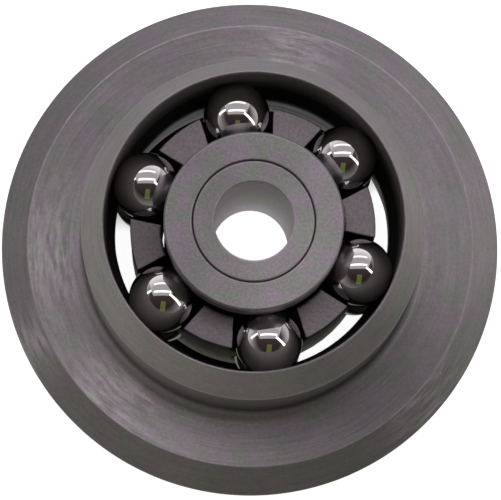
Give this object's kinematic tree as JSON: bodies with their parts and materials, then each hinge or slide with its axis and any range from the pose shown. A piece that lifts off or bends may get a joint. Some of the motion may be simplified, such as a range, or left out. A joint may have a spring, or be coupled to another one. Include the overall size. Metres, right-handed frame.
{
  "type": "flanged cam follower",
  "caption": "Flanged ball-bearing cam follower: a one-piece wheel with a coned nose, plain tread and wide bevelled flange turns on double-row balls round a clamped sleeve.",
  "frame": {"origin": "on the wheel's axis, in the plane of the lower ends of the sleeve and inner rings", "axes": "+Z along the axis from the flange towards the nose; +X through the first ball of each row"},
  "size_m": [0.0544, 0.0544, 0.0208],
  "materials": {
    "turned_steel": "dark turned steel with fine concentric tool marks",
    "ground_steel": "ground steel, satin grey",
    "cage_steel": "dull pressed and machined steel",
    "ball_steel": "polished bearing steel"
  },
  "bodies": {
    "inner_group": {"sleeve": "ground_steel", "upper_inner_ring": "ground_steel", "lower_inner_ring": "ground_steel"},
    "outer_ring": {"outer_ring": "turned_steel"},
    "cage": {"cage": "cage_steel"},
    "upper_ball_1": {"upper_ball_1": "ball_steel"},
    "upper_ball_2": {"upper_ball_2": "ball_steel"},
    "upper_ball_3": {"upper_ball_3": "ball_steel"},
    "upper_ball_4": {"upper_ball_4": "ball_steel"},
    "upper_ball_5": {"upper_ball_5": "ball_steel"},
    "upper_ball_6": {"upper_ball_6": "ball_steel"},
    "lower_ball_1": {"lower_ball_1": "ball_steel"},
    "lower_ball_2": {"lower_ball_2": "ball_steel"},
    "lower_ball_3": {"lower_ball_3": "ball_steel"},
    "lower_ball_4": {"lower_ball_4": "ball_steel"},
    "lower_ball_5": {"lower_ball_5": "ball_steel"},
    "lower_ball_6": {"lower_ball_6": "ball_steel"}
  },
  "joints": [
    {"name": "outer_spin", "type": "hinge", "parent": "inner_group", "child": "outer_ring", "pos_m": [0, 0, 0.0104], "axis": [0, 0, 1], "continuous": true},
    {"name": "cage_spin", "type": "hinge", "parent": "inner_group", "child": "cage", "pos_m": [0, 0, 0.0104], "axis": [0, 0, 1], "continuous": true},
    {"name": "upper_ball_1_spin", "type": "hinge", "parent": "cage", "child": "upper_ball_1", "pos_m": [0.01205, 0, 0.01486], "axis": [0, 0, 1], "continuous": true},
    {"name": "upper_ball_2_spin", "type": "hinge", "parent": "cage", "child": "upper_ball_2", "pos_m": [0.00603, 0.01044, 0.01486], "axis": [0, 0, 1], "continuous": true},
    {"name": "upper_ball_3_spin", "type": "hinge", "parent": "cage", "child": "upper_ball_3", "pos_m": [-0.00603, 0.01044, 0.01486], "axis": [0, 0, 1], "continuous": true},
    {"name": "upper_ball_4_spin", "type": "hinge", "parent": "cage", "child": "upper_ball_4", "pos_m": [-0.01205, 0, 0.01486], "axis": [0, 0, 1], "continuous": true},
    {"name": "upper_ball_5_spin", "type": "hinge", "parent": "cage", "child": "upper_ball_5", "pos_m": [-0.00603, -0.01044, 0.01486], "axis": [0, 0, 1], "continuous": true},
    {"name": "upper_ball_6_spin", "type": "hinge", "parent": "cage", "child": "upper_ball_6", "pos_m": [0.00603, -0.01044, 0.01486], "axis": [0, 0, 1], "continuous": true},
    {"name": "lower_ball_1_spin", "type": "hinge", "parent": "cage", "child": "lower_ball_1", "pos_m": [0.01205, 0, 0.00594], "axis": [0, 0, 1], "continuous": true},
    {"name": "lower_ball_2_spin", "type": "hinge", "parent": "cage", "child": "lower_ball_2", "pos_m": [0.00603, 0.01044, 0.00594], "axis": [0, 0, 1], "continuous": true},
    {"name": "lower_ball_3_spin", "type": "hinge", "parent": "cage", "child": "lower_ball_3", "pos_m": [-0.00603, 0.01044, 0.00594], "axis": [0, 0, 1], "continuous": true},
    {"name": "lower_ball_4_spin", "type": "hinge", "parent": "cage", "child": "lower_ball_4", "pos_m": [-0.01205, 0, 0.00594], "axis": [0, 0, 1], "continuous": true},
    {"name": "lower_ball_5_spin", "type": "hinge", "parent": "cage", "child": "lower_ball_5", "pos_m": [-0.00603, -0.01044, 0.00594], "axis": [0, 0, 1], "continuous": true},
    {"name": "lower_ball_6_spin", "type": "hinge", "parent": "cage", "child": "lower_ball_6", "pos_m": [0.00603, -0.01044, 0.00594], "axis": [0, 0, 1], "continuous": true}
  ],
  "couplings": [
    {"joint": "cage_spin", "follows": "outer_spin", "ratio": 0.6482},
    {"joint": "upper_ball_1_spin", "follows": "outer_spin", "ratio": 1.5388},
    {"joint": "upper_ball_2_spin", "follows": "outer_spin", "ratio": 1.5388},
    {"joint": "upper_ball_3_spin", "follows": "outer_spin", "ratio": 1.5388},
    {"joint": "upper_ball_4_spin", "follows": "outer_spin", "ratio": 1.5388},
    {"joint": "upper_ball_5_spin", "follows": "outer_spin", "ratio": 1.5388},
    {"joint": "upper_ball_6_spin", "follows": "outer_spin", "ratio": 1.5388},
    {"joint": "lower_ball_1_spin", "follows": "outer_spin", "ratio": 1.5388},
    {"joint": "lower_ball_2_spin", "follows": "outer_spin", "ratio": 1.5388},
    {"joint": "lower_ball_3_spin", "follows": "outer_spin", "ratio": 1.5388},
    {"joint": "lower_ball_4_spin", "follows": "outer_spin", "ratio": 1.5388},
    {"joint": "lower_ball_5_spin", "follows": "outer_spin", "ratio": 1.5388},
    {"joint": "lower_ball_6_spin", "follows": "outer_spin", "ratio": 1.5388}
  ]
}
